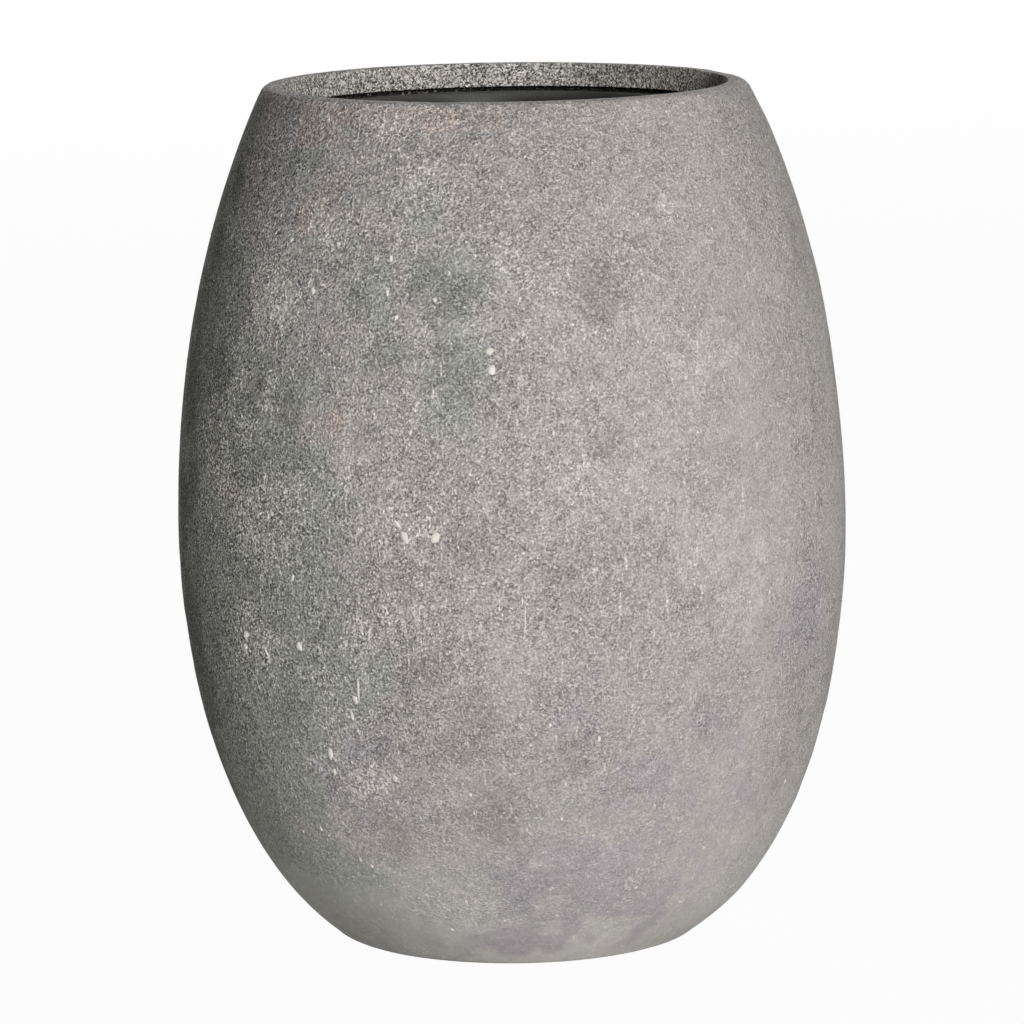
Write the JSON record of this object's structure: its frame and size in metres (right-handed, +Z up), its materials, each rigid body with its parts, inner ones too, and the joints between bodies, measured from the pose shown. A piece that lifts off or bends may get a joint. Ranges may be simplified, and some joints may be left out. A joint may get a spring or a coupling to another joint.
{
  "type": "balloon planter",
  "caption": "Barrel-shaped stone-composite floor planter with a turned-in lip and a lift-out planting liner that has folding bails and a drain plug.",
  "frame": {"origin": "on the floor, at the centre of the ring of four foot pads, on the planter's axis", "axes": "+Z up along the planter's axis; the side seen in the picture faces -Y; the two bails are at -X and +X"},
  "size_m": [0.547, 0.547, 0.7],
  "materials": {
    "stone_composite": "matte",
    "ledge_plastic": "matte",
    "pad_rubber": "matte",
    "liner_plastic": "satin",
    "bail_wire": "satin",
    "plug_rubber": "matte"
  },
  "bodies": {
    "planter": {"outer_shell": "stone_composite", "liner_ledge_ring": "ledge_plastic", "foot_pad_1": "pad_rubber", "foot_pad_2": "pad_rubber", "foot_pad_3": "pad_rubber", "foot_pad_4": "pad_rubber"},
    "liner": {"liner": "liner_plastic"},
    "bail_left": {"liner_handle_left": "bail_wire"},
    "bail_right": {"liner_handle_right": "bail_wire"},
    "liner_plug": {"liner_drain_plug": "plug_rubber"},
    "base_plug": {"base_drain_plug": "plug_rubber"}
  },
  "joints": [
    {"name": "liner_lift", "type": "slide", "parent": "planter", "child": "liner", "axis": [0, 0, 1], "range_m": [0, 0.34]},
    {"name": "bail_left_swing", "type": "hinge", "parent": "liner", "child": "bail_left", "pos_m": [-0.1452, 0, 0.667], "axis": [0, -1, 0], "range_deg": [0, 180]},
    {"name": "bail_right_swing", "type": "hinge", "parent": "liner", "child": "bail_right", "pos_m": [0.1452, 0, 0.667], "axis": [0, 1, 0], "range_deg": [0, 180]},
    {"name": "liner_plug_pull", "type": "slide", "parent": "liner", "child": "liner_plug", "axis": [0, 0, 1], "range_m": [0, 0.335]},
    {"name": "base_plug_pull", "type": "slide", "parent": "planter", "child": "base_plug", "axis": [0, 0, 1], "range_m": [0, 0.3]}
  ]
}
